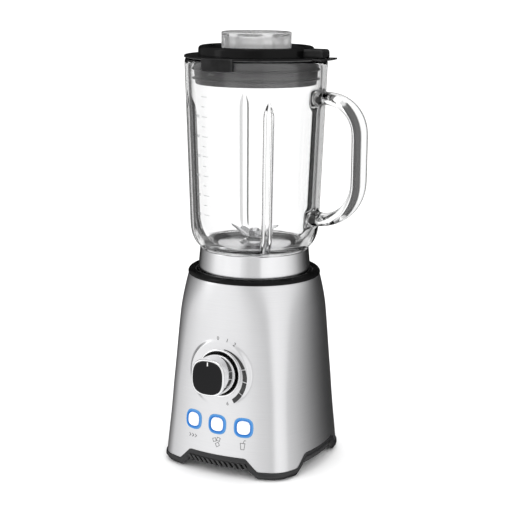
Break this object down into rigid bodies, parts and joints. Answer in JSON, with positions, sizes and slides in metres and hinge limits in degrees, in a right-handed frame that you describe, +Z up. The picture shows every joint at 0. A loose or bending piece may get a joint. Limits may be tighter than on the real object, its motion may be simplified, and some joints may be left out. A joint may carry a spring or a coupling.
{
  "type": "countertop blender",
  "caption": "Countertop blender: glass jar with handle, lid and measuring cap on a tapered brushed steel motor base with a speed dial and push buttons.",
  "frame": {"origin": "on the drive axis, in the plane the four rubber feet stand on", "axes": "+Z up along the drive axis, -Y towards the front with the controls, +X towards the jar's handle"},
  "size_m": [0.1912, 0.1706, 0.415],
  "materials": {
    "brushed_housing": "fine horizontal brushing, clear coat",
    "collar_steel": "turned, fine brushing round the axis",
    "black_trim": "fine moulded texture",
    "socket_black": "fine moulded texture",
    "foot_rubber": "soft matt",
    "screw_steel": "zinc plated",
    "dial_chrome": "polished",
    "dial_black": "black print",
    "knob_black": "satin black insert",
    "pointer_white": "white print",
    "blue_light": "translucent blue light guide",
    "button_white": "translucent white",
    "circuit_green": "solder mask",
    "electronics": "component plastic",
    "switch_housing": "moulded",
    "gland_rubber": "matt",
    "lamination": "stacked sheet steel",
    "copper_wire": "enamelled copper",
    "copper_bars": "bare copper",
    "bracket_alloy": "die cast",
    "bearing_steel": "ground",
    "brush_brass": "drawn",
    "carbon": "graphite",
    "fan_nylon": "natural nylon",
    "coupling_black": "glass filled nylon",
    "pin_white": "acetal",
    "collar_black": "moulded",
    "cutter_steel": "satin stainless",
    "seal_grey": "satin",
    "gasket_clear": "silicone",
    "jar_glass": "clear pressed glass",
    "lid_black": "gloss black",
    "cap_clear": "clear plastic"
  },
  "bodies": {
    "base": {"base_shell": "brushed_housing", "base_skirt": "black_trim", "bottom_cover": "black_trim", "rubber_feet": "foot_rubber", "cover_screws": "screw_steel", "top_ring": "black_trim", "jar_socket": "socket_black", "dial_bezel": "dial_chrome", "dial_well": "dial_black", "dial_scale": "dial_black", "light_rings": "blue_light", "button_board": "circuit_green", "button_switches": "electronics", "speed_switch": "switch_housing", "control_board": "circuit_green", "board_parts": "electronics", "stator_core": "lamination", "field_coils": "copper_wire", "upper_bracket": "bracket_alloy", "lower_bracket": "bracket_alloy", "upper_bearing": "bearing_steel", "lower_bearing": "bearing_steel", "rubber_mounts": "foot_rubber", "motor_screws": "screw_steel", "brush_holders": "brush_brass", "carbon_brushes": "carbon", "interlock_switch": "electronics", "interlock_spring": "bearing_steel", "cord_gland": "gland_rubber"},
    "rotor": {"motor_shaft": "bearing_steel", "rotor_core": "lamination", "rotor_windings": "copper_wire", "commutator": "copper_bars", "cooling_fan": "fan_nylon", "drive_coupling": "coupling_black"},
    "knob": {"knob_shell": "dial_chrome", "knob_cap": "knob_black", "knob_pointer": "pointer_white", "knob_shaft": "bearing_steel"},
    "left_button": {"button_left": "button_white"},
    "middle_button": {"button_middle": "button_white"},
    "right_button": {"button_right": "button_white"},
    "seat_pin": {"interlock_pin": "pin_white"},
    "cutter_unit": {"jar_collar": "collar_black", "collar_band": "collar_steel", "blade_housing": "cutter_steel", "jar_gasket": "gasket_clear", "blade_bushes": "brush_brass", "shaft_seal": "gasket_clear"},
    "blades": {"blade_shaft": "bearing_steel", "upper_blades": "cutter_steel", "lower_blades": "cutter_steel", "blade_nut": "cutter_steel", "driven_coupling": "coupling_black"},
    "jar": {"glass_jar": "jar_glass"},
    "lid": {"lid_cover": "lid_black", "lid_seal": "seal_grey"},
    "filler_cap": {"measuring_cap": "cap_clear"}
  },
  "joints": [
    {"name": "motor_spin", "type": "hinge", "parent": "base", "child": "rotor", "pos_m": [0, 0, 0.11], "axis": [0, 0, 1], "continuous": true},
    {"name": "knob_turn", "type": "hinge", "parent": "base", "child": "knob", "pos_m": [0, -0.06974, 0.099], "axis": [0, 0.9986, -0.0523], "range_deg": [0, 147]},
    {"name": "left_press", "type": "slide", "parent": "base", "child": "left_button", "axis": [0.1945, 0.9773, -0.0836], "range_m": [0, 0.0015], "stiffness_N_per_m": 600, "springref_m": -0.001},
    {"name": "middle_press", "type": "slide", "parent": "base", "child": "middle_button", "axis": [0, 0.9965, -0.0836], "range_m": [0, 0.0015], "stiffness_N_per_m": 600, "springref_m": -0.001},
    {"name": "right_press", "type": "slide", "parent": "base", "child": "right_button", "axis": [-0.1945, 0.9773, -0.0836], "range_m": [0, 0.0015], "stiffness_N_per_m": 600, "springref_m": -0.001},
    {"name": "seat_pin_press", "type": "slide", "parent": "base", "child": "seat_pin", "axis": [0, 0, 1], "range_m": [-0.001, 0], "stiffness_N_per_m": 400, "springref_m": 0.002, "deforming": ["interlock_spring"]},
    {"name": "jar_lift", "type": "slide", "parent": "base", "child": "cutter_unit", "axis": [0, 0, 1], "range_m": [0, 0.1]},
    {"name": "blade_spin", "type": "hinge", "parent": "cutter_unit", "child": "blades", "pos_m": [0, 0, 0.2], "axis": [0, 0, 1], "continuous": true},
    {"name": "jar_unscrew", "type": "slide", "parent": "cutter_unit", "child": "jar", "axis": [0, 0, 1], "range_m": [0, 0.06]},
    {"name": "lid_lift", "type": "slide", "parent": "jar", "child": "lid", "axis": [0, 0, 1], "range_m": [0, 0.06]},
    {"name": "cap_lift", "type": "slide", "parent": "lid", "child": "filler_cap", "axis": [0, 0, 1], "range_m": [0, 0.05]}
  ],
  "couplings": [
    {"joint": "blade_spin", "follows": "motor_spin", "ratio": 1}
  ]
}
